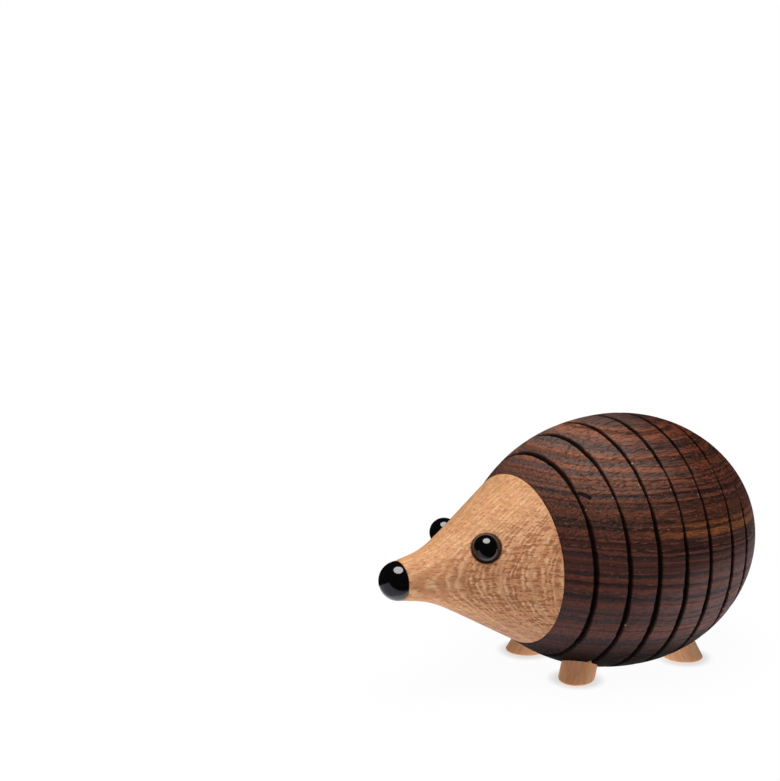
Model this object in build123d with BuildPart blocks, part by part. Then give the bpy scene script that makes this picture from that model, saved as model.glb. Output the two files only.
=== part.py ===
# Hedgehog figurine: a turned, grooved shell, a turned head, four dowel legs, bead eyes and a bead nose
from build123d import *
from math import cos, radians, sin
import os

os.makedirs("parts", exist_ok=True)

# Frame: +Z up, feet on Z = 0, nose towards -Y, the animal's left side towards +X
# Lengths along the turning axis, in mm
nose_length = 5.3
nose_fullness = 0.56
head_length = 37.6
shell_length = 75.6
girth_offset = 34.3
total_length = nose_length + head_length + shell_length

# Radii about the turning axis
snout_radius = 5.38
joint_radius = 23.3
girth_radius = 35.0

# Slopes (radius per length) of the turned profile, and how far each curve follows its end slopes
snout_slope = 0.18
joint_slope = 0.58
snout_reach = 12.0
cheek_reach = 28.4
shoulder_reach = 3.5
girth_front_reach = 20.9
girth_rear_reach = 23.2
rear_reach = 17.4

# Ring grooves: five at one pitch from the head, then a wider step and a shorter last one
first_groove = 7.1
groove_pitch = 8.35
front_grooves = 5
wide_groove_step = 9.3
last_groove_step = 7.9
groove_width = 1.4
groove_depth = 1.8
groove_root_radius = 12.0

# Belly: a flat sanded this deep into the egg, this far above the floor; it sets the height of the axis
belly_flat_depth = 2.6
belly_gap = 1.1
axis_height = girth_radius - belly_flat_depth + belly_gap

# Legs: plain dowels, leaning outward and away from the middle of the body per unit of height
leg_radius = 4.95
leg_length = 17.0
leg_lean_out = 0.30
leg_lean_along = 0.45
leg_end_chamfer = 0.8
foot_round = 0.5
front_foot_x = 12.2
rear_foot_x = 13.1
front_foot_offset = 13.8
rear_foot_offset = 50.2

# Eyes: balls sunk a little below the cheek, placed by a share of the head's curve and angles round its axis
eye_radius = 3.95
eye_sink = 0.9
eye_curve_share = 0.540
eye_rise_angle = 37.0
head_turn_angle = 4.8
pin_radius = 1.2
pin_length = 8.5

# Glued fits: the nose's shank, the head's spigot, and the gap left for glue round each of them
shank_radius = 2.2
shank_length = 8.0
spigot_radius = 10.0
spigot_length = 12.0
spigot_chamfer = 1.0
end_room = 0.4
glue_gap = 0.08

# Stations along Y, from the nose tip to the rear of the shell
nose_tip_y = -total_length / 2
nose_joint_y = nose_tip_y + nose_length
head_joint_y = nose_joint_y + head_length
girth_y = head_joint_y + girth_offset
rear_y = head_joint_y + shell_length
groove_offsets = [first_groove + groove_pitch * i for i in range(front_grooves)]
groove_offsets.append(groove_offsets[-1] + wide_groove_step)
groove_offsets.append(groove_offsets[-1] + last_groove_step)

# Profiles are drawn with the radius along X and turned about the axis
profile_plane = Plane.XY.offset(axis_height)
turning_axis = Axis((0, 0, axis_height), (0, 1, 0))


def shell_outline(shrink):
    """Closed half outline of the egg, with every radius and its rear end drawn in by shrink."""
    joint = Vector(joint_radius - shrink, head_joint_y)
    shoulder = joint + Vector(joint_slope, 1) * shoulder_reach
    girth = girth_radius - shrink
    rear = rear_y - shrink
    Bezier(joint, shoulder, (girth, girth_y - girth_front_reach), (girth, girth_y))
    Bezier((girth, girth_y), (girth, girth_y + girth_rear_reach), (rear_reach - shrink, rear), (0, rear))
    Polyline((0, rear), (0, head_joint_y), joint)


def leg_plane(side, along):
    """Plane at a foot's middle on the floor, looking up the leg: side is +1 left, along is -1 front."""
    foot_x = front_foot_x if along < 0 else rear_foot_x
    foot_offset = front_foot_offset if along < 0 else rear_foot_offset
    up_the_leg = Vector(-side * leg_lean_out, -along * leg_lean_along, 1)
    return Plane(origin=(side * foot_x, head_joint_y + foot_offset, 0), z_dir=up_the_leg)


leg_planes = {
    "leg_front_left": leg_plane(1, -1),
    "leg_front_right": leg_plane(-1, -1),
    "leg_rear_left": leg_plane(1, 1),
    "leg_rear_right": leg_plane(-1, 1),
}

# Body shell: the egg with its grooves, drawn as one half outline and turned
with BuildPart() as body_shell:
    with BuildSketch(profile_plane):
        with BuildLine():
            shell_outline(0)
        make_face()
        groove_reach = girth_radius - groove_root_radius + groove_depth
        with Locations([(groove_root_radius, head_joint_y + offset) for offset in groove_offsets]):
            Rectangle(groove_reach, groove_width, align=(Align.MIN, Align.CENTER), mode=Mode.SUBTRACT)
        with BuildLine():
            shell_outline(groove_depth)
        make_face()
    revolve(axis=turning_axis)
    # The belly flat
    split(bisect_by=Plane.XY.offset(belly_gap), keep=Keep.TOP)
    # The bore for the head's spigot
    with Locations(Plane(origin=(0, head_joint_y, axis_height), z_dir=(0, 1, 0))):
        Cylinder(
            spigot_radius + glue_gap,
            spigot_length + end_room,
            align=(Align.CENTER, Align.CENTER, Align.MIN),
            mode=Mode.SUBTRACT,
        )
    # The leg sockets, drilled up the line of each leg
    with Locations([plane.location for plane in leg_planes.values()]):
        Cylinder(
            leg_radius + glue_gap,
            leg_length,
            align=(Align.CENTER, Align.CENTER, Align.MIN),
            mode=Mode.SUBTRACT,
        )


def eye_plane(curve, angle):
    """Plane at an eye's middle, looking square out of the cheek, at an angle round the axis from +X."""
    point = curve @ eye_curve_share
    tangent = curve % eye_curve_share
    around = Vector(cos(radians(angle)), 0, sin(radians(angle)))
    outward = around * tangent.Y - Vector(0, tangent.X, 0)
    surface = Vector(0, point.Y, axis_height) + around * point.X
    return Plane(origin=surface - outward * eye_sink, z_dir=outward)


# Head: the cone and snout with the spigot turned on its back, then the eye seats and the nose's hole
snout_end = Vector(snout_radius, nose_joint_y)
cheek_end = Vector(joint_radius, head_joint_y)
snout_handle = snout_end + Vector(snout_slope, 1) * snout_reach
cheek_handle = cheek_end - Vector(joint_slope, 1) * cheek_reach
spigot_end_y = head_joint_y + spigot_length
with BuildPart() as head:
    with BuildSketch(profile_plane):
        with BuildLine():
            cheek_curve = Bezier(snout_end, snout_handle, cheek_handle, cheek_end)
            Polyline(
                cheek_end,
                (spigot_radius, head_joint_y),
                (spigot_radius, spigot_end_y - spigot_chamfer),
                (spigot_radius - spigot_chamfer, spigot_end_y),
                (0, spigot_end_y),
                (0, nose_joint_y),
                snout_end,
            )
        make_face()
    revolve(axis=turning_axis)
    eye_planes = {
        "eye_left": eye_plane(cheek_curve, head_turn_angle + eye_rise_angle),
        "eye_right": eye_plane(cheek_curve, head_turn_angle + 180 - eye_rise_angle),
    }
    with Locations([plane.location for plane in eye_planes.values()]):
        Sphere(eye_radius + glue_gap, mode=Mode.SUBTRACT)
        Cylinder(
            pin_radius + glue_gap,
            pin_length + end_room,
            align=(Align.CENTER, Align.CENTER, Align.MAX),
            mode=Mode.SUBTRACT,
        )
    with Locations(Plane(origin=(0, nose_joint_y, axis_height), z_dir=(0, 1, 0))):
        Cylinder(
            shank_radius + glue_gap,
            shank_length + end_room,
            align=(Align.CENTER, Align.CENTER, Align.MIN),
            mode=Mode.SUBTRACT,
        )

# Nose: a half-egg dome with a shank, its back flat against the snout
shank_end_y = nose_joint_y + shank_length
with BuildPart() as nose:
    with BuildSketch(profile_plane):
        with BuildLine():
            Bezier(
                snout_end,
                snout_end - Vector(0, nose_length * nose_fullness),
                (snout_radius * nose_fullness, nose_tip_y),
                (0, nose_tip_y),
            )
            Polyline(
                snout_end,
                (shank_radius, nose_joint_y),
                (shank_radius, shank_end_y),
                (0, shank_end_y),
                (0, nose_tip_y),
            )
        make_face()
    revolve(axis=turning_axis)

body_shell.part.label = "body_shell"
head.part.label = "head"
nose.part.label = "nose"
for turned_piece in (body_shell, head, nose):
    export_step(turned_piece.part, f"parts/{turned_piece.part.label}.step")

# Eyes: balls with a pin
for name, plane in eye_planes.items():
    with BuildPart(plane) as eye:
        Sphere(eye_radius)
        Cylinder(pin_radius, pin_length, align=(Align.CENTER, Align.CENTER, Align.MAX))
    eye.part.label = name
    export_step(eye.part, f"parts/{name}.step")

# Legs: dowels cut flat along the floor, with the foot's edge rounded and the hidden end chamfered
for name, plane in leg_planes.items():
    with BuildPart(plane) as leg:
        Cylinder(leg_radius, leg_length, align=(Align.CENTER, Align.CENTER, Align.MIN))
        chamfer(leg.edges().sort_by(Axis.Z)[-1], leg_end_chamfer)
        Cylinder(leg_radius, leg_radius, align=(Align.CENTER, Align.CENTER, Align.MAX))
        split(bisect_by=Plane.XY, keep=Keep.TOP)
        fillet(leg.faces().sort_by(Axis.Z)[0].edges(), foot_round)
    leg.part.label = name
    export_step(leg.part, f"parts/{name}.step")
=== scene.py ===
import math
import random
from collections import namedtuple

import bpy
import numpy
from mathutils import Matrix, Vector


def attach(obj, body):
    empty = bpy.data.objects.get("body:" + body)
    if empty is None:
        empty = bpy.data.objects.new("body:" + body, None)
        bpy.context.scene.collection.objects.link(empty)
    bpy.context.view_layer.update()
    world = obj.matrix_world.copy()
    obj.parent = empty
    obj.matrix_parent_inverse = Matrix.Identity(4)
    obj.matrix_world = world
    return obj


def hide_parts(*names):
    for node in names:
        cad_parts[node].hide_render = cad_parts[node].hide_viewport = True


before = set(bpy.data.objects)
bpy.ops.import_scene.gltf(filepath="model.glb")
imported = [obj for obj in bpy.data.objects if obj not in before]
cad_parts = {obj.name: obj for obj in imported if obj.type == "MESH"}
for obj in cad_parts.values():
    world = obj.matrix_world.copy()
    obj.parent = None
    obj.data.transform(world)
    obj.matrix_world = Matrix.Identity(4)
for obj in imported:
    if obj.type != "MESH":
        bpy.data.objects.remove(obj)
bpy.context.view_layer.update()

# Shapes are worked out in mm, nose towards -Y and the animal's left side towards +X; metres in a mm
metres = 0.001

# Lengths along the turning axis
nose_length = 5.3
head_length = 37.6
shell_length = 75.6
girth_offset = 34.3
nose_tip_y = -(nose_length + head_length + shell_length) / 2
nose_joint_y = nose_tip_y + nose_length
head_joint_y = nose_joint_y + head_length
girth_y = head_joint_y + girth_offset
rear_y = head_joint_y + shell_length

# Radii about the axis, slopes (radius per length) at the joints, and how far each curve follows its ends
snout_radius = 5.38
joint_radius = 23.3
girth_radius = 35.0
snout_slope = 0.18
joint_slope = 0.58
snout_reach = 12.0
cheek_reach = 28.4
shoulder_reach = 3.5
girth_front_reach = 20.9
girth_rear_reach = 23.2
rear_reach = 17.4
nose_fullness = 0.56

# Belly: a flat this deep in the egg, this far above the floor; it sets the height of the axis
belly_flat_depth = 2.6
belly_gap = 1.1
axis_height = girth_radius - belly_flat_depth + belly_gap

# Ring grooves: five at one pitch from the head, then a wider step and a shorter last one
first_groove = 7.1
groove_pitch = 8.35
front_grooves = 5
wide_groove_step = 9.3
last_groove_step = 7.9
groove_width = 1.4
groove_depth = 1.8
groove_stations = [head_joint_y + first_groove + groove_pitch * i for i in range(front_grooves)]
groove_stations.append(groove_stations[-1] + wide_groove_step)
groove_stations.append(groove_stations[-1] + last_groove_step)

# Legs: middle of each foot on the floor, the lean per unit of height, and each leg's own place in the grain
leg_radius = 4.95
leg_length = 17.0
leg_lean_out = 0.30
leg_lean_along = 0.45
foot_round = 0.5
front_foot_x = 12.2
rear_foot_x = 13.1
front_foot_offset = 13.8
rear_foot_offset = 50.2
front_foot_y = head_joint_y + front_foot_offset
rear_foot_y = head_joint_y + rear_foot_offset
leg_grain_step = 40.0
leg_feet = {
    "leg_front_left": (front_foot_x, front_foot_y),
    "leg_front_right": (-front_foot_x, front_foot_y),
    "leg_rear_left": (rear_foot_x, rear_foot_y),
    "leg_rear_right": (-rear_foot_x, rear_foot_y),
}

# Eyes: balls sunk in the cheek, placed by a share of its curve and angles round the axis from +X
eye_radius = 3.95
eye_sink = 0.9
eye_curve_share = 0.540
eye_rise_angle = 37.0
head_turn_angle = 4.8
eye_angles = {
    "eye_left": head_turn_angle + eye_rise_angle,
    "eye_right": head_turn_angle + 180 - eye_rise_angle,
}

# Curves of the turned outline, as rows of (radius, y)
shell_front = [
    (joint_radius, head_joint_y),
    (joint_radius + joint_slope * shoulder_reach, head_joint_y + shoulder_reach),
    (girth_radius, girth_y - girth_front_reach),
    (girth_radius, girth_y),
]
shell_rear = [
    (girth_radius, girth_y),
    (girth_radius, girth_y + girth_rear_reach),
    (rear_reach, rear_y),
    (0.0, rear_y),
]
cheek = [
    (snout_radius, nose_joint_y),
    (snout_radius + snout_slope * snout_reach, nose_joint_y + snout_reach),
    (joint_radius - joint_slope * cheek_reach, head_joint_y - cheek_reach),
    (joint_radius, head_joint_y),
]
nose_dome = [
    (0.0, nose_tip_y),
    (snout_radius * nose_fullness, nose_tip_y),
    (snout_radius, nose_joint_y - nose_length * nose_fullness),
    (snout_radius, nose_joint_y),
]


def bezier(points, samples):
    """Points along a cubic curve, as rows of (radius, y)."""
    t = numpy.linspace(0.0, 1.0, samples)[:, None]
    a, b, c, d = [numpy.array(point) for point in points]
    return a * (1 - t) ** 3 + 3 * b * t * (1 - t) ** 2 + 3 * c * t ** 2 * (1 - t) + d * t ** 3


def make_mesh(name, points, faces, fields):
    """A smooth mesh object from points in mm; fields are named values kept on its points."""
    mesh = bpy.data.meshes.new(name)
    mesh.from_pydata((numpy.array(points) * metres).tolist(), [], faces)
    mesh.shade_smooth()
    for field, values in fields.items():
        values = numpy.array(values, dtype=numpy.float32)
        kind = "FLOAT_VECTOR" if values.ndim == 2 else "FLOAT"
        attribute = mesh.attributes.new(field, kind, "POINT")
        attribute.data.foreach_set("vector" if values.ndim == 2 else "value", values.ravel())
    mesh.update()
    piece = bpy.data.objects.new(name, mesh)
    bpy.context.scene.collection.objects.link(piece)
    return piece


def ring_faces(rows, around):
    """Quads between neighbouring rings, and fans to a start and an end tip numbered after the rings."""
    faces = []
    for row in range(rows - 1):
        low = row * around
        high = low + around
        for i in range(around):
            j = (i + 1) % around
            faces.append((low + i, high + i, high + j, low + j))
    start_tip = rows * around
    end_tip = start_tip + 1
    last = start_tip - around
    for i in range(around):
        j = (i + 1) % around
        faces.append((start_tip, i, j))
        faces.append((end_tip, last + j, last + i))
    return faces


def turned_points(radii, stations, around):
    """Points of rings about the turning axis: radii is one value per ring, or one per ring and angle."""
    rings = len(stations)
    angles = numpy.linspace(0.0, 2 * math.pi, around, endpoint=False)
    radii = numpy.broadcast_to(numpy.array(radii).reshape(rings, -1), (rings, around))
    points = numpy.zeros((rings, around, 3))
    points[:, :, 0] = radii * numpy.cos(angles)
    points[:, :, 1] = numpy.array(stations).reshape(rings, -1)
    points[:, :, 2] = radii * numpy.sin(angles) + axis_height
    return points.reshape(-1, 3)


def with_tips(points, tip_stations):
    """Points of rings, followed by a tip on the axis at each of two stations."""
    return numpy.vstack([points, [(0.0, y, axis_height) for y in tip_stations]])


def grain_of(points):
    """Wood coordinates of points on the turned pieces: mm from the axis, fibres along Y."""
    return numpy.array(points) - numpy.array([0.0, 0.0, axis_height])


# Body shell: rings along the egg, with each groove's rounded lips, walls and floor
around_shell = 432
shell_angles = numpy.linspace(0.0, 2 * math.pi, around_shell, endpoint=False)
front_samples = 400
rear_samples = 500
outline = numpy.vstack([bezier(shell_front, front_samples), bezier(shell_rear, rear_samples)[1:]])
front_edge_gap = 0.02
front_edge_drop = 0.22
first_ring = 0.25
ring_step = 0.75
tail_length = 9.0
tail_samples = 100
groove_margin = 1.5
half_width = groove_width / 2
least_half_width = 0.12

# Ragged lips: how far they stray, finely and coarsely, and over how many points
lip_seed = 41
lip_dice = numpy.random.default_rng(lip_seed)
fine_stray = 0.05
fine_spread = 2
coarse_stray = 0.06
coarse_spread = 6

# A groove's section from its lip inwards: place in from the lip, drop, painted shade and how far chips reach
groove_section = [
    (-0.95, 0.0, 0.0, 0.0),
    (-0.55, 0.0, 0.0, 0.5),
    (-0.20, 0.01, 0.0, 1.0),
    (-0.06, 0.05, 0.0, 1.0),
    (0.00, 0.20, 0.3, 1.0),
    (0.04, 0.60, 0.8, 0.0),
    (0.08, 1.20, 1.0, 0.0),
    (0.14, 1.65, 1.0, 0.0),
    (0.24, 1.80, 1.0, 0.0),
]

# Grooves are thin high on the left flank and wide low on it, and their painted shade is lighter high up:
# angle and spread, and shares
thin_place = (42.0, 24.0)
wide_place = (-24.0, 30.0)
groove_light_place = (52.0, 40.0)
thin_shares = [0.36, 0.36, 0.36, 0.62, 0.62, 0.62, 0.62]
wide_shares = [0.10, 0.10, 0.36, 0.36, 0.36, 0.36, 0.36]
groove_light_share = 0.16

# Chips broken out of the lips: a few at set angles, by lip, and narrow nicks at random angles
set_chips = {4: [47], 5: [58], 6: [64, 41], 8: [36.5, 43], 10: [48, 37], 12: [24]}
set_chip_width = 0.018
set_chip_depth = 0.42
nicks_per_lip = 16
nick_widths = (0.006, 0.022)
nick_depths = (0.08, 0.30)
full_chip_depth = 0.45
chip_seed = 7
chance = random.Random(chip_seed)

# A notch behind the first groove: stations and angles along it
notch_line = [(-8.5, 52.7), (-8.1, 51.9), (-7.7, 50.7), (-7.3, 49.4), (-6.9, 47.9)]
notch_depth = 0.12
notch_reach = 0.9

# One ring of the shell: its stations and radii, painted shade, the lip it belongs to and how far chips reach
# it
ShellRing = namedtuple("ShellRing", "y radius dark lip chipped")
no_lip = -1


def outline_radius(y):
    """Radius of the egg's outline at a station."""
    return numpy.interp(y, outline[:, 1], outline[:, 0])


def bump_at(angle, spread):
    """A smooth bump round the shell, 1 at an angle in degrees and fading over the spread."""
    away = (numpy.degrees(shell_angles) - angle + 180.0) % 360.0 - 180.0
    return numpy.exp(-(away / spread) ** 2)


def groove_share(number):
    """Share of its full width that a groove is cut to at each angle."""
    return 1.0 - thin_shares[number] * bump_at(*thin_place) + wide_shares[number] * bump_at(*wide_place)


def ragged(spread):
    """Seeded unevenness round the shell, about 1 high and smooth over a spread counted in points."""
    spreads_each_way = 4
    reach = spreads_each_way * spread
    steps = numpy.arange(-reach, reach + 1)
    window = numpy.exp(-(steps / spread) ** 2)
    rough = lip_dice.standard_normal(around_shell + 2 * reach)
    rough[-2 * reach:] = rough[:2 * reach]
    return numpy.convolve(rough, window, mode="valid") / numpy.sqrt(numpy.sum(window ** 2))


def plain_rings():
    """Rings of the egg between the grooves, closer together towards its rear tip."""
    front_edge = head_joint_y + front_edge_gap
    rings = [ShellRing(front_edge, joint_radius - front_edge_drop, 0.0, no_lip, 0.0)]
    tail_start = rear_y - tail_length
    front_stations = numpy.arange(head_joint_y + first_ring, tail_start, ring_step)
    tail_stations = bezier(shell_rear, tail_samples)[:-1, 1]
    for y in [*front_stations, *tail_stations[tail_stations >= tail_start]]:
        if all(abs(y - station) > half_width + groove_margin for station in groove_stations):
            rings.append(ShellRing(y, outline_radius(y), 0.0, no_lip, 0.0))
    return rings


def groove_rings(number, station):
    """Rings of one groove: both lips and walls, and the middle of its floor."""
    rings = []
    share = groove_share(number)
    # Less painted shade in the grooves high up on the flank
    shade_kept = 1.0 - groove_light_share * bump_at(*groove_light_place)
    for side in (-1, 1):
        lip_place = half_width * share + fine_stray * ragged(fine_spread)
        lip_place = numpy.maximum(lip_place + coarse_stray * ragged(coarse_spread), least_half_width)
        lip = number * 2 + (side + 1) // 2
        for inset, drop, dark, chipped in groove_section:
            from_station = lip_place - inset
            if inset > 0.0:
                from_station = lip_place * (1.0 - inset / half_width)
            y = station + side * from_station
            rings.append(ShellRing(y, outline_radius(y) - drop, dark * shade_kept, lip, chipped))
    rings.append(ShellRing(station, outline_radius(station) - groove_depth, 1.0, no_lip, 0.0))
    return rings


shell_rings = plain_rings()
for number, station in enumerate(groove_stations):
    shell_rings += groove_rings(number, station)
shell_rings.sort(key=lambda ring: numpy.mean(ring.y))
every_angle = numpy.ones(around_shell)
shell_stations = numpy.array([ring.y * every_angle for ring in shell_rings])
shell_radii = numpy.array([ring.radius * every_angle for ring in shell_rings])
groove_shade = numpy.array([ring.dark * every_angle for ring in shell_rings])
shell_chip = numpy.zeros_like(shell_radii)

# The chips, cut into the rings of each lip
for lip in range(2 * len(groove_stations)):
    chips = [(math.radians(angle), set_chip_width, set_chip_depth) for angle in set_chips.get(lip, [])]
    for _ in range(nicks_per_lip):
        middle = chance.uniform(0.0, 2 * math.pi)
        width = chance.uniform(*nick_widths)
        depth = chance.uniform(*nick_depths)
        chips.append((middle, width, depth))
    nick = numpy.zeros(around_shell)
    for middle, width, depth in chips:
        away = numpy.abs((shell_angles - middle + math.pi) % (2 * math.pi) - math.pi)
        nick = numpy.maximum(nick, depth * numpy.clip(1.0 - away / width, 0.0, 1.0))
    for index, ring in enumerate(shell_rings):
        if ring.lip == lip:
            shell_radii[index] -= nick * ring.chipped
            shell_chip[index] = nick * ring.chipped / full_chip_depth

# The notch, cut where the shell comes near its line
notch_spots = []
for station, angle in notch_line:
    radius = outline_radius(station)
    turn = math.radians(angle)
    notch_spots.append((radius * math.cos(turn), station, radius * math.sin(turn)))
shell_places = numpy.stack(
    [shell_radii * numpy.cos(shell_angles), shell_stations, shell_radii * numpy.sin(shell_angles)],
    axis=-1,
)
for spot in notch_spots:
    from_spot = numpy.linalg.norm(shell_places - numpy.array(spot), axis=-1)
    shell_radii -= notch_depth * numpy.clip(1.0 - from_spot / notch_reach, 0.0, 1.0)

shell_points = turned_points(shell_radii, shell_stations, around_shell)
shell_points[:, 2] = numpy.maximum(shell_points[:, 2], belly_gap)
shell_points = with_tips(shell_points, (head_joint_y + front_edge_gap, rear_y))
# The groove field carries the painted shade in the grooves
shell_fields = {
    "grain": grain_of(shell_points),
    "groove": numpy.append(groove_shade.ravel(), [0.0, 0.0]),
    "chip": numpy.append(shell_chip.ravel(), [0.0, 0.0]),
}
shell_faces = ring_faces(len(shell_rings), around_shell)
shell = make_mesh("shell_wood", shell_points, shell_faces, shell_fields)


def make_turned(name, rows, around, tip_stations):
    """A closed turned piece from rows of (radius, y), with a tip on the axis at each end."""
    points = turned_points([radius for radius, _ in rows], [y for _, y in rows], around)
    points = with_tips(points, tip_stations)
    return make_mesh(name, points, ring_faces(len(rows), around), {"grain": grain_of(points)})


# Head: the S-curved cone with slightly eased front and rear edges
around_head = 360
cheek_samples = 150
edge_ease = 0.25
rear_bevel_drop = 0.09
rear_bevel_inset = 0.12
head_rear_gap = 0.01
head_rear_y = head_joint_y - head_rear_gap
head_rows = [(snout_radius - edge_ease, nose_joint_y)]
head_rows += bezier(cheek, cheek_samples)[1:-1].tolist()
head_rows.append((joint_radius - rear_bevel_drop, head_joint_y - rear_bevel_inset))
head_rows.append((joint_radius - edge_ease, head_rear_y))
head = make_turned("head_wood", head_rows, around_head, (nose_joint_y, head_rear_y))

# Nose: the bead's dome, its back pressed against the snout
around_nose = 128
dome_samples = 60
back_drop = 0.15
nose_overlap = 0.03
nose_back_y = nose_joint_y + nose_overlap
nose_rows = bezier(nose_dome, dome_samples)[1:].tolist()
nose_rows.append((snout_radius - back_drop, nose_back_y))
nose = make_turned("nose_bead", nose_rows, around_nose, (nose_tip_y, nose_back_y))


def eye_frame(angle):
    """Middle of an eye and the direction square out of the cheek, at an angle round the axis from +X."""
    fine_samples = 2001
    rows = bezier(cheek, fine_samples)
    lengths = numpy.cumsum(numpy.linalg.norm(numpy.diff(rows, axis=0), axis=1))
    index = int(numpy.searchsorted(lengths, eye_curve_share * lengths[-1]))
    radius, y = rows[index]
    along = rows[index + 1] - rows[index - 1]
    along = along / numpy.linalg.norm(along)
    around = Vector((math.cos(math.radians(angle)), 0.0, math.sin(math.radians(angle))))
    outward = around * along[1] - Vector((0.0, along[0], 0.0))
    surface = Vector((0.0, y, axis_height)) + around * radius
    return surface - outward * eye_sink, outward


def make_eye(name, angle):
    """A bead eye: rings about its outward direction."""
    middle, outward = eye_frame(angle)
    turn = outward.to_track_quat("Z", "Y").to_matrix()
    around = 96
    rows = 48
    points = []
    for row in range(1, rows):
        tilt = math.pi * row / rows
        for i in range(around):
            swing = 2 * math.pi * i / around
            spot = Vector((
                math.sin(tilt) * math.cos(swing),
                math.sin(tilt) * math.sin(swing),
                math.cos(tilt),
            ))
            points.append(middle + turn @ (spot * eye_radius))
    points.append(middle + outward * eye_radius)
    points.append(middle - outward * eye_radius)
    faces = ring_faces(rows - 1, around)
    return make_mesh(name, points, faces, {"grain": numpy.array(points) - numpy.array(middle)})


eyes = {name: make_eye(name.replace("eye", "bead"), angle) for name, angle in eye_angles.items()}


def make_leg(name, foot, number):
    """A dowel leaning from its foot up into the shell, cut flat along the floor with a rounded edge."""
    foot_x, foot_y = foot
    side = 1.0 if foot_x > 0 else -1.0
    end = -1.0 if foot_y == front_foot_y else 1.0
    up = Vector((-side * leg_lean_out, -end * leg_lean_along, 1.0)).normalized()
    turn = up.to_track_quat("Z", "Y").to_matrix()
    base = Vector((foot_x, foot_y, 0.0))
    around = 120
    round_steps = 6
    side_rows = 24
    foot_rows = []
    for step in range(round_steps + 1):
        swing = 0.5 * math.pi * step / round_steps
        foot_rows.append((foot_round * (1 - math.cos(swing)), foot_round * (1 - math.sin(swing))))
    grain_shift = leg_grain_step * (number + 1)
    points = []
    grain = []
    rows = len(foot_rows) + side_rows
    for row in range(rows):
        for i in range(around):
            angle = 2 * math.pi * i / around
            spread = Vector((math.cos(angle), math.sin(angle), 0.0))
            if row < len(foot_rows):
                height, inset = foot_rows[row]
                reach = turn @ (spread * (leg_radius - inset))
                climb = (height - reach.z) / up.z
            else:
                share = (row - len(foot_rows) + 1) / side_rows
                reach = turn @ (spread * leg_radius)
                low = (foot_round - reach.z) / up.z
                climb = low + (leg_length - low) * share
            points.append(base + reach + up * climb)
            local = spread * leg_radius
            grain.append((local.x + grain_shift, climb + grain_shift, local.y))
    points.append(base)
    grain.append((grain_shift, grain_shift, 0.0))
    points.append(base + up * leg_length)
    grain.append((grain_shift, leg_length + grain_shift, 0.0))
    faces = [tuple(reversed(face)) for face in ring_faces(rows, around)]
    return make_mesh(name, points, faces, {"grain": grain})


legs = {}
for number, (name, foot) in enumerate(leg_feet.items()):
    legs[name] = make_leg(name.replace("leg", "dowel"), foot, number)


def colour(red, green, blue):
    """A colour given as 0 to 255 screen values, as linear values for a shader socket."""
    linear = []
    for value in (red, green, blue):
        share = value / 255
        linear.append(share / 12.92 if share <= 0.04045 else ((share + 0.055) / 1.055) ** 2.4)
    return (*linear, 1.0)


# Values that several materials share: white, the usual range of a noise, and the pale wood's roughness
white = (1.0, 1.0, 1.0, 1.0)
noise_range = (0.3, 0.7)
pale_roughness = (0.48, 0.66)


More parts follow.
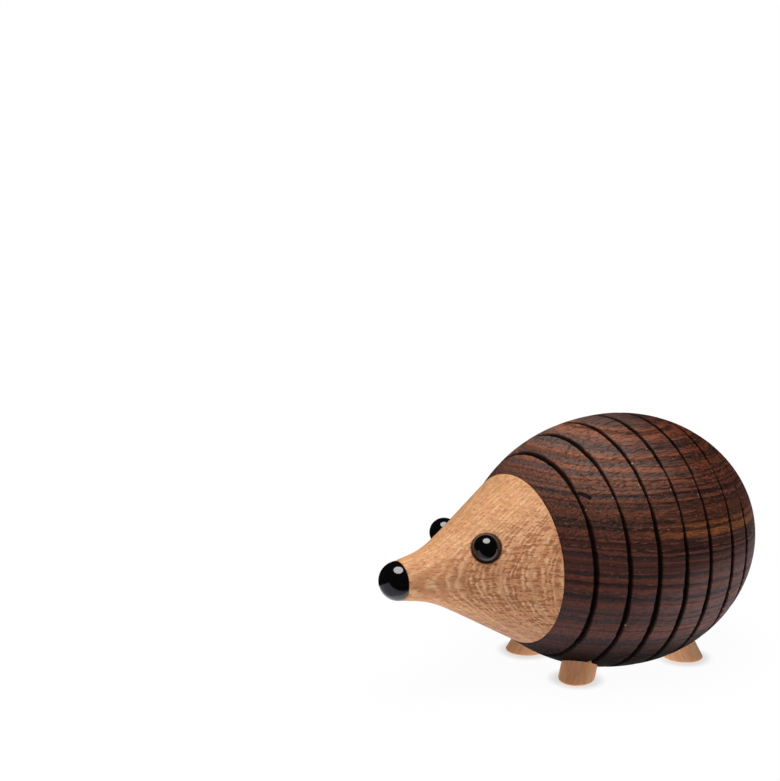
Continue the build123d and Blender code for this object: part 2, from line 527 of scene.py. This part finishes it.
class Shader:
    """A material's node tree, with a short call for each kind of node used here."""

    def __init__(self, name):
        self.material = bpy.data.materials.new(name)
        self.material.use_nodes = True
        self.tree = self.material.node_tree
        self.surface = self.tree.nodes["Principled BSDF"]

    def feed(self, socket, value):
        if isinstance(value, bpy.types.NodeSocket):
            self.tree.links.new(value, socket)
        else:
            socket.default_value = value

    def field(self, name, output):
        node = self.tree.nodes.new("ShaderNodeAttribute")
        node.attribute_name = name
        return node.outputs[output]

    def place(self):
        return self.tree.nodes.new("ShaderNodeTexCoord").outputs["Object"]

    def maths(self, operation, first, second=0.0, third=0.0):
        node = self.tree.nodes.new("ShaderNodeMath")
        node.operation = operation
        self.feed(node.inputs[0], first)
        self.feed(node.inputs[1], second)
        self.feed(node.inputs[2], third)
        return node.outputs[0]

    def plus(self, first, second):
        return self.maths("ADD", first, second)

    def minus(self, first, second):
        return self.maths("SUBTRACT", first, second)

    def times(self, first, second):
        return self.maths("MULTIPLY", first, second)

    def line(self, value, slope, start):
        """A value times a slope, added to a start."""
        return self.maths("MULTIPLY_ADD", value, slope, start)

    def stretch(self, vector, scale, shift=(0.0, 0.0, 0.0)):
        node = self.tree.nodes.new("ShaderNodeVectorMath")
        node.operation = "MULTIPLY_ADD"
        self.feed(node.inputs[0], vector)
        node.inputs[1].default_value = scale
        node.inputs[2].default_value = shift
        return node.outputs[0]

    def swing(self, value, width):
        """A value between 0 and 1, spread over a width about zero."""
        return self.times(self.minus(value, 0.5), width)

    def combine(self, x, y, z):
        node = self.tree.nodes.new("ShaderNodeCombineXYZ")
        self.feed(node.inputs[0], x)
        self.feed(node.inputs[1], y)
        self.feed(node.inputs[2], z)
        return node.outputs[0]

    def split(self, vector):
        node = self.tree.nodes.new("ShaderNodeSeparateXYZ")
        self.feed(node.inputs[0], vector)
        return node.outputs

    def distance(self, vector, point):
        node = self.tree.nodes.new("ShaderNodeVectorMath")
        node.operation = "DISTANCE"
        self.feed(node.inputs[0], vector)
        node.inputs[1].default_value = point
        return node.outputs["Value"]

    def nearest(self, vector, points):
        """Distance to the nearest of some points."""
        least = self.distance(vector, points[0])
        for point in points[1:]:
            least = self.maths("MINIMUM", least, self.distance(vector, point))
        return least

    def from_axis(self, x, height):
        """Distance from the turning axis."""
        return self.maths("SQRT", self.line(x, x, self.times(height, height)))

    def noise(self, vector, scale=1.0, detail=2.0, roughness=0.5):
        node = self.tree.nodes.new("ShaderNodeTexNoise")
        self.feed(node.inputs["Vector"], vector)
        node.inputs["Scale"].default_value = scale
        node.inputs["Detail"].default_value = detail
        node.inputs["Roughness"].default_value = roughness
        return node.outputs["Fac"]

    def line_noise(self, value, scale, detail, shift=0.0):
        node = self.tree.nodes.new("ShaderNodeTexNoise")
        node.noise_dimensions = "1D"
        self.feed(node.inputs["W"], self.plus(value, shift))
        node.inputs["Scale"].default_value = scale
        node.inputs["Detail"].default_value = detail
        return node.outputs["Fac"]

    def ease(self, value, low, high, start=0.0, end=1.0):
        """A smooth step from start to end as a value goes from low to high."""
        node = self.tree.nodes.new("ShaderNodeMapRange")
        node.interpolation_type = "SMOOTHSTEP"
        self.feed(node.inputs["Value"], value)
        node.inputs["From Min"].default_value = low
        node.inputs["From Max"].default_value = high
        node.inputs["To Min"].default_value = start
        node.inputs["To Max"].default_value = end
        return node.outputs["Result"]

    def stripe(self, value, rise, fall):
        """1 between the limits of a rise and those of a fall, else 0."""
        return self.minus(self.ease(value, *rise), self.ease(value, *fall))

    def mix(self, factor, first, second):
        node = self.tree.nodes.new("ShaderNodeMix")
        node.data_type = "RGBA"
        self.feed(node.inputs[0], factor)
        self.feed(node.inputs[6], first)
        self.feed(node.inputs[7], second)
        return node.outputs[2]

    def lay(self, finish, mask, share, tint):
        """A finish with a share of a tint laid over it where the mask is."""
        return self.mix(self.times(mask, share), finish, tint)

    def bump(self, height, strength, distance):
        node = self.tree.nodes.new("ShaderNodeBump")
        self.feed(node.inputs["Height"], height)
        node.inputs["Strength"].default_value = strength
        node.inputs["Distance"].default_value = distance
        self.feed(self.surface.inputs["Normal"], node.outputs["Normal"])

    def paint(self, finish, roughness):
        self.feed(self.surface.inputs["Base Color"], finish)
        self.feed(self.surface.inputs["Roughness"], roughness)


# Marks along the fibres of the dark wood: their noise, its limits, shares of the tint, and relief
Mark = namedtuple("Mark", "stretch shift detail roughness limits share warm_share relief tint")
dark_marks = {
    "pores": Mark(
        stretch=(2.2, 0.13, 2.2),
        shift=(0.0, 0.0, 0.0),
        detail=2.0,
        roughness=0.6,
        limits=(0.55, 0.62),
        share=0.10,
        warm_share=0.34,
        relief=0.3,
        tint=colour(138, 80, 59),
    ),
    "fibres": Mark(
        stretch=(2.6, 0.13, 2.6),
        shift=(31.0, 7.0, 53.0),
        detail=2.0,
        roughness=0.5,
        limits=(0.53, 0.60),
        share=0.18,
        warm_share=0.36,
        relief=-0.5,
        tint=colour(34, 22, 21),
    ),
    "specks": Mark(
        stretch=(3.4, 0.55, 3.4),
        shift=(0.0, 0.0, 0.0),
        detail=1.0,
        roughness=0.5,
        limits=(0.57, 0.66),
        share=0.26,
        warm_share=0.22,
        relief=-0.4,
        tint=colour(30, 18, 17),
    ),
    "sparks": Mark(
        stretch=(3.1, 0.8, 3.1),
        shift=(11.0, 3.0, 29.0),
        detail=0.0,
        roughness=0.5,
        limits=(0.77, 0.82),
        share=0.35,
        warm_share=0.40,
        relief=0.0,
        tint=colour(176, 110, 82),
    ),
}


def dark_wood():
    """Dark banded wood: near-level layers, brown and slate, with fine reddish pores along the fibres."""
    wood = Shader("dark_wood")
    grain = wood.field("grain", "Vector")
    x, y, height = wood.split(grain)

    # Layers rise a little to the rear, bend and ripple; over the top they dip towards the right side
    rise_to_rear = 0.085
    dip_share = 0.14
    dip_start = 0.914
    dip_end = (-0.92, -0.40)
    bend_width = 4.0
    ripple_width = 0.9
    bend = wood.swing(wood.noise(wood.stretch(grain, (0.04, 0.016, 0.04))), bend_width)
    ripple = wood.swing(wood.noise(wood.stretch(grain, (0.9, 0.06, 0.9))), ripple_width)
    level = wood.plus(wood.plus(wood.line(y, rise_to_rear, height), bend), ripple)
    reach = wood.from_axis(x, height)
    side = wood.maths("DIVIDE", x, reach)
    over = wood.maths("MAXIMUM", wood.minus(dip_start, side), 0.0)
    above = wood.times(wood.ease(side, *dip_end), wood.maths("GREATER_THAN", height, 0.0))
    layer = wood.line(wood.times(wood.times(over, above), reach), dip_share, level)

    # Zones, with their limits in mm: warm layers, their climb to the top, lighter partly by painted light
    # from above, the rear, the low flank, the light
    warm_levels = (11.6, 12.8)
    climb_levels = (15.0, 32.0)
    rear_stations = (-4.0, 28.0)
    far_rear_stations = (0.0, 34.0)
    low_heights = (2.0, -10.0)
    low_rise_at_rear = -5.0
    lit_heights = (-27.0, -14.0)
    warm = wood.ease(level, *warm_levels)
    climb = wood.ease(level, *climb_levels)
    rear = wood.ease(y, *rear_stations)
    far_rear = wood.ease(y, *far_rear_stations)
    low = wood.ease(wood.line(rear, low_rise_at_rear, height), *low_heights)
    lit = wood.ease(height, *lit_heights)

    # Slate and brown in each zone, front and rear, and the bands that change between them. The top colours
    # are partly the wood's tone and partly painted light and sheen from above.
    # The bottom colours, lighter towards the rear, are partly the wood's tone and partly a painted sheen
    # reflecting the floor
    bottom_slate_and_sheen = wood.mix(rear, colour(77, 61, 63), colour(114, 93, 95))
    bottom_brown_and_sheen = wood.mix(rear, colour(105, 70, 64), colour(136, 99, 93))
    low_slate = wood.mix(low, colour(57, 42, 42), bottom_slate_and_sheen)
    low_brown = wood.mix(low, colour(97, 56, 46), bottom_brown_and_sheen)
    flank_slate = wood.mix(rear, colour(60, 45, 41), colour(46, 26, 21))
    flank_brown = wood.mix(rear, colour(93, 55, 42), colour(80, 43, 31))
    top_slate_and_light = wood.mix(far_rear, colour(116, 97, 91), colour(60, 32, 23))
    top_brown_and_light = wood.mix(far_rear, colour(168, 112, 89), colour(106, 53, 34))
    slate = wood.mix(warm, low_slate, wood.mix(climb, flank_slate, top_slate_and_light))
    brown = wood.mix(warm, low_brown, wood.mix(climb, flank_brown, top_brown_and_light))
    wide_band = wood.ease(wood.line_noise(layer, scale=0.36, detail=2.0), 0.44, 0.54)
    thin_band = wood.ease(wood.line_noise(layer, scale=0.42, detail=1.0, shift=17.0), 0.42, 0.58)
    finish = wood.mix(wood.mix(warm, thin_band, wide_band), slate, brown)

    # A golden flame along the rear flank, dark lines with one broad line under the flame, and reddish threads
    flame_share = 0.86
    line_share = 0.45
    line_share_at_rear = 0.35
    line_share_low = 0.5
    broad_line_share = 0.7
    thread_share = 0.66
    flame = wood.stripe(level, rise=(12.0, 13.0), fall=(14.5, 17.0))
    finish = wood.lay(finish, wood.times(flame, rear), flame_share, colour(146, 86, 46))
    dark_line = wood.ease(wood.line_noise(layer, scale=0.80, detail=1.0, shift=91.0), 0.54, 0.60)
    dark_line = wood.times(dark_line, wood.line(rear, line_share_at_rear, line_share))
    dark_line = wood.times(dark_line, wood.ease(low, 0.0, 1.0, 1.0, line_share_low))
    broad_line = wood.times(wood.stripe(level, rise=(9.8, 10.8), fall=(11.4, 12.2)), broad_line_share)
    finish = wood.mix(wood.maths("MAXIMUM", dark_line, broad_line), finish, colour(36, 22, 21))
    dash = wood.ease(wood.noise(wood.stretch(grain, (0.9, 0.07, 0.9))), 0.44, 0.60)
    thread = wood.ease(wood.line_noise(layer, scale=1.1, detail=0.0, shift=37.0), 0.60, 0.68)
    finish = wood.lay(finish, wood.times(thread, dash), thread_share, colour(124, 74, 58))

    # Marks along the fibres, stronger where the wood is warm
    noises = {}
    relief = 0.0
    for name, mark in dark_marks.items():
        fibre_place = wood.stretch(grain, mark.stretch, mark.shift)
        noises[name] = wood.noise(fibre_place, detail=mark.detail, roughness=mark.roughness)
        mask = wood.ease(noises[name], *mark.limits)
        finish = wood.lay(finish, mask, wood.line(warm, mark.warm_share, mark.share), mark.tint)
        relief = wood.line(mask, mark.relief, relief)

    # The notch and the grooves in painted shade, the dark underside and the pale chips on their lips
    notch_edge = (0.75, 0.40)
    notch_share = 0.92
    notch_relief = -1.5
    chip_limits = (0.30, 0.65)
    cut_shade = colour(19, 10, 8)
    under_stain_and_shade = colour(20, 9, 8)
    chip_pale = colour(204, 160, 128)
    notch = wood.ease(wood.nearest(grain, notch_spots), *notch_edge)
    # Painted shade in the notch
    finish = wood.lay(finish, notch, notch_share, cut_shade)
    # Painted shade under the egg, partly the dark stain: the wood darkens below the lit heights
    finish = wood.mix(lit, under_stain_and_shade, finish)
    # Painted shade in the grooves, deepest on their floors
    finish = wood.mix(wood.field("groove", "Fac"), finish, cut_shade)
    finish = wood.mix(wood.ease(wood.field("chip", "Fac"), *chip_limits), finish, chip_pale)

    # Shine and relief
    dark_roughness = (0.46, 0.70)
    rougher_below = 0.25
    roughness = wood.ease(noises["fibres"], *noise_range, *dark_roughness)
    wood.paint(finish, wood.line(wood.minus(1.0, lit), rougher_below, roughness))
    wood.surface.inputs["Specular IOR Level"].default_value = 0.05
    wood.bump(wood.line(notch, notch_relief, relief), strength=0.7, distance=0.3 * metres)
    return wood.material


def light_wood():
    """Pale open-pored wood turned to a cone: fine growth rings across X and short brown ray flecks."""
    wood = Shader("light_wood")
    grain = wood.field("grain", "Vector")
    x, y, height = wood.split(grain)

    # Growth rings lie across X, turned a little with the head, closer together outside the first bold one
    ring_turn = 0.052
    bold_rings = (9.0, 14.75, 18.8)
    rings_per_mm = 0.80
    more_outside = 0.35
    ring_unevenness = 2.2
    crest_most = 0.75
    crest_strengths = (0.10, 1.0)
    bend_width = 2.0
    wobble_width = 1.0
    bend = wood.swing(wood.noise(wood.stretch(grain, (0.10, 0.05, 0.10))), bend_width)
    wobble = wood.swing(wood.noise(wood.stretch(grain, (0.6, 0.35, 0.6)), detail=3.0), wobble_width)
    depth = wood.line(height, ring_turn, x)
    tangent = wood.line(x, -ring_turn, height)
    layer = wood.plus(depth, wood.plus(bend, wobble))
    from_middle = wood.maths("ABSOLUTE", layer)
    outside = wood.maths("MAXIMUM", wood.minus(from_middle, bold_rings[0]), 0.0)
    uneven = wood.times(wood.line_noise(layer, scale=0.35, detail=1.0), ring_unevenness)
    count = wood.line(outside, more_outside, wood.line(layer, rings_per_mm, uneven))
    crest = wood.stripe(wood.maths("FRACT", count), rise=(0.0, 0.22), fall=(0.38, 0.75))
    reach = wood.from_axis(x, height)
    flat = wood.ease(wood.maths("DIVIDE", wood.maths("ABSOLUTE", depth), reach), 0.50, 0.90)
    strength_noise = wood.noise(wood.stretch(grain, (0.45, 0.22, 0.45), (3.0, 8.0, 1.0)))
    strength = wood.ease(strength_noise, 0.36, 0.64, *crest_strengths)
    crest_share = wood.times(wood.times(crest, strength), crest_most)

    # Ray flecks in rows and fine pores, both laid out along the rings
    fewer_on_crests = -0.07
    more_in_rows = 0.16
    weave = wood.combine(wood.times(layer, rings_per_mm), y, tangent)
    fleck_noise = wood.noise(wood.stretch(weave, (0.50, 0.30, 1.35)), roughness=0.6)
    fleck_rows = wood.line_noise(tangent, scale=0.55, detail=0.0)
    fleck_height = wood.line(fleck_rows, more_in_rows, wood.line(crest, fewer_on_crests, fleck_noise))
    fleck = wood.ease(fleck_height, 0.55, 0.62)
    pore_noise = wood.noise(wood.stretch(weave, (3.2, 0.42, 2.4), (7.0, 2.0, 5.0)), roughness=0.6)
    pore = wood.ease(pore_noise, 0.53, 0.62)

    # Colours: base, crests, pores, painted shade on the underside, flecks away from the snout and the bold
    # rings
    pore_heights = (2.0, -10.0)
    pore_shares = (0.55, 0.72)
    lower_heights = (-4.0, -17.0)
    underside_shade_share = 0.45
    broad_radii = (6.0, 12.0)
    fleck_share = 0.18
    fleck_share_lower = 0.24
    fleck_share_flat = 0.42
    bold_share = 0.55
    bold_edge = (0.08, 0.30)
    lower = wood.ease(height, *lower_heights)
    broad = wood.ease(reach, *broad_radii)
    pore_most = wood.ease(height, *pore_heights, *pore_shares)
    finish = wood.mix(flat, colour(229, 166, 115), colour(215, 148, 103))
    finish = wood.mix(crest_share, finish, colour(252, 202, 152))
    finish = wood.lay(finish, pore, pore_most, colour(176, 110, 68))
    # Painted shade: the underside of the head darker and duller
    finish = wood.lay(finish, lower, underside_shade_share, colour(158, 108, 84))
    fleck_most = wood.line(flat, fleck_share_flat, wood.line(lower, fleck_share_lower, fleck_share))
    finish = wood.lay(finish, fleck, wood.times(fleck_most, broad), colour(140, 80, 48))
    for ring_depth in bold_rings:
        away = wood.maths("ABSOLUTE", wood.minus(from_middle, ring_depth))
        finish = wood.mix(wood.ease(away, *bold_edge, bold_share, 0.0), finish, colour(236, 184, 140))

    # Dark seats round the eyes, partly a dark joint and partly painted shade next to the beads, and how far
    # they reach beyond the beads
    seat_dark_to = 0.15
    seat_end = 0.65
    for angle in eye_angles.values():
        middle, _ = eye_frame(angle)
        from_eye = wood.distance(grain, (middle.x, middle.y, middle.z - axis_height))
        outside_seat = wood.ease(from_eye, eye_radius + seat_dark_to, eye_radius + seat_end)
        finish = wood.mix(outside_seat, colour(58, 31, 20), finish)

    # Shine and relief
    crest_relief = 0.6
    fleck_relief = -0.6
    pore_relief = -0.3
    wood.paint(finish, wood.ease(pore_noise, *noise_range, *pale_roughness))
    wood.surface.inputs["Specular IOR Level"].default_value = 0.3
    relief = wood.line(fleck, fleck_relief, wood.times(crest_share, crest_relief))
    wood.bump(wood.line(pore, pore_relief, relief), strength=0.6, distance=0.3 * metres)
    return wood.material


def leg_wood():
    """The pale wood of the dowels: fine streaks along each leg, a little redder in places."""
    wood = Shader("leg_wood")
    grain = wood.field("grain", "Vector")
    streak = wood.ease(wood.noise(wood.stretch(grain, (1.1, 0.06, 1.1))), 0.35, 0.65)
    pore_noise = wood.noise(wood.stretch(grain, (3.0, 0.30, 3.0)))
    pore_share = 0.35
    finish = wood.mix(streak, colour(255, 197, 147), colour(253, 175, 125))
    finish = wood.lay(finish, wood.ease(pore_noise, 0.54, 0.66), pore_share, colour(186, 120, 84))
    wood.paint(finish, wood.ease(pore_noise, *noise_range, *pale_roughness))
    wood.surface.inputs["Specular IOR Level"].default_value = 0.3
    wood.bump(pore_noise, strength=0.3, distance=0.2 * metres)
    return wood.material


def black_gloss():
    """Glossy black lacquer with a faint unevenness in its shine."""
    gloss = Shader("black_gloss")
    grain = gloss.field("grain", "Vector")
    cloud = gloss.noise(grain, scale=0.6, detail=3.0)
    finish = gloss.mix(cloud, colour(3, 3, 4), colour(8, 7, 9))
    gloss_roughness = (0.06, 0.10)
    gloss.paint(finish, gloss.ease(cloud, *noise_range, *gloss_roughness))
    gloss.surface.inputs["IOR"].default_value = 1.72
    gloss.bump(gloss.noise(grain, scale=0.35, detail=1.0), strength=0.04, distance=0.4 * metres)
    return gloss.material


dark_finish = dark_wood()
light_finish = light_wood()
leg_finish = leg_wood()
black_finish = black_gloss()


def seat_piece(piece, node, finish):
    """Gives a piece its finish and puts it in place of its node of the part."""
    piece.data.materials.append(finish)
    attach(piece, "root")
    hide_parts(node)


seat_piece(shell, "body_shell", dark_finish)
seat_piece(head, "head", light_finish)
seat_piece(nose, "nose", black_finish)
for name, piece in eyes.items():
    seat_piece(piece, name, black_finish)
for name, piece in legs.items():
    seat_piece(piece, name, leg_finish)

# Floor: a wide pale sheet
floor_drop = 0.02
floor_radius = 20000.0
floor_sides = 64
floor_points = [(0.0, 0.0, -floor_drop)]
floor_faces = []
for i in range(floor_sides):
    angle = 2 * math.pi * i / floor_sides
    floor_points.append((floor_radius * math.cos(angle), floor_radius * math.sin(angle), -floor_drop))
    floor_faces.append((0, i + 1, (i + 1) % floor_sides + 1))
floor = make_mesh("floor", floor_points, floor_faces, {})


def floor_sheet():
    """A lit sheet with a white glow, weaker at the feet so that shadows stay there."""
    near_white = (0.97, 0.97, 0.97, 1.0)
    dull_white = (0.93, 0.93, 0.93, 1.0)
    open_glow = 0.97
    foot_glow = 0.64
    bounce_glow = 0.86
    foot_shade = (4.5 * metres, 9.0 * metres)
    sheet = Shader("floor_sheet")
    nodes = sheet.tree.nodes
    place = sheet.place()
    lit = nodes.new("ShaderNodeBsdfDiffuse")
    speckle = sheet.noise(place, scale=40.0, detail=3.0)
    sheet.feed(lit.inputs["Color"], sheet.mix(speckle, dull_white, near_white))
    glow = nodes.new("ShaderNodeEmission")
    glow.inputs["Color"].default_value = white
    glow.inputs["Strength"].default_value = 1.0
    path = nodes.new("ShaderNodeLightPath")
    seen = sheet.maths("MAXIMUM", path.outputs["Is Camera Ray"], path.outputs["Is Glossy Ray"])
    seen = sheet.maths("MAXIMUM", seen, path.outputs["Is Transmission Ray"])
    feet = [(foot_x * metres, foot_y * metres, 0.0) for foot_x, foot_y in leg_feet.values()]
    seen_glow = sheet.ease(sheet.nearest(place, feet), *foot_shade, foot_glow, open_glow)
    blend = nodes.new("ShaderNodeMixShader")
    sheet.feed(blend.inputs[0], sheet.line(seen, sheet.minus(seen_glow, bounce_glow), bounce_glow))
    sheet.feed(blend.inputs[1], lit.outputs[0])
    sheet.feed(blend.inputs[2], glow.outputs[0])
    sheet.feed(nodes["Material Output"].inputs["Surface"], blend.outputs[0])
    return sheet.material


floor.data.materials.append(floor_sheet())

# A dark card on the floor before the object, beside it and on its far side, which only reflections see: it
# puts painted dark reflections in the beads
card_end = 15000.0
card_front_y = -66.0
card_near_corner = (9.5, card_front_y)
card_side_end = (8993.0, 12002.0)
card_far_x = -70.0
card_corners = [
    card_side_end,
    card_near_corner,
    (-card_end, card_front_y),
    (-card_end, -card_end),
    (card_end, -card_end),
    (card_end, card_side_end[1]),
]
far_corners = [
    (card_far_x, card_front_y),
    (card_far_x, card_end),
    (-card_end, card_end),
    (-card_end, card_front_y),
]
card_points = [(x, y, 0.0) for x, y in card_corners + far_corners]
card_count = len(card_corners)
card_faces = [tuple(range(card_count)), tuple(range(card_count, len(card_points)))]
card = make_mesh("dark_card", card_points, card_faces, {})
card.visible_camera = False
card.visible_diffuse = False
card.visible_shadow = False
card.visible_transmission = False


def reflection_card():
    """Dark, for painted dark reflections in the beads, with a grey strip before the nose for a painted grey
    reflection in it.
    """
    reflector = Shader("reflection_card")
    place = reflector.place()
    x = reflector.split(place)[0]
    strip_right_edge = (-75.0 * metres, -55.0 * metres)
    strip_left_edge = (56.0 * metres, 28.0 * metres)
    cloud = reflector.noise(place, scale=300.0, detail=2.0)
    strip = reflector.times(reflector.ease(x, *strip_right_edge), reflector.ease(x, *strip_left_edge))
    dark = reflector.mix(cloud, colour(8, 8, 8), colour(16, 16, 16))
    grey = reflector.mix(cloud, colour(166, 166, 178), colour(178, 178, 190))
    reflector.paint(reflector.mix(strip, dark, grey), roughness=0.9)
    reflector.surface.inputs["Specular IOR Level"].default_value = 0.1
    return reflector.material


card.data.materials.append(reflection_card())

# Light: a dim even room, darker still in reflections, and one broad lamp almost overhead
room_strength = 0.08
mirrored_strength = 0.015
lamp_strength = 3.0
lamp_breadth = 46.0
towards_lamp = (0.05, -0.08, 1.0)
scene = bpy.context.scene
room = bpy.data.worlds.new("room")
room.use_nodes = True
backdrop = room.node_tree.nodes["Background"]
backdrop.inputs["Color"].default_value = white
room_path = room.node_tree.nodes.new("ShaderNodeLightPath")
room_range = room.node_tree.nodes.new("ShaderNodeMapRange")
room_range.inputs["To Min"].default_value = room_strength
room_range.inputs["To Max"].default_value = mirrored_strength
room.node_tree.links.new(room_path.outputs["Is Glossy Ray"], room_range.inputs["Value"])
room.node_tree.links.new(room_range.outputs["Result"], backdrop.inputs["Strength"])
scene.world = room
lamp_data = bpy.data.lights.new("overhead", "SUN")
lamp_data.energy = lamp_strength
lamp_data.angle = math.radians(lamp_breadth)
lamp = bpy.data.objects.new("overhead", lamp_data)
lamp.rotation_euler = Vector(towards_lamp).to_track_quat("Z", "Y").to_euler()
scene.collection.objects.link(lamp)

# Camera: its place in metres and its angles in degrees
camera_place = (0.62458, -0.46556, 0.31019)
camera_swing = 56.91
camera_dip = 16.676
camera_roll = 1.865
camera_data = bpy.data.cameras.new("camera")
camera_data.lens = 138.28
camera_data.sensor_width = 36.0
camera_data.clip_end = 100.0
camera = bpy.data.objects.new("camera", camera_data)
swing = Matrix.Rotation(math.radians(camera_swing), 4, "Z")
tilt = Matrix.Rotation(math.pi / 2 - math.radians(camera_dip), 4, "X")
roll = Matrix.Rotation(math.radians(camera_roll), 4, "Z")
camera.matrix_world = Matrix.Translation(camera_place) @ swing @ tilt @ roll
scene.collection.objects.link(camera)
scene.camera = camera
scene.view_settings.view_transform = "Standard"
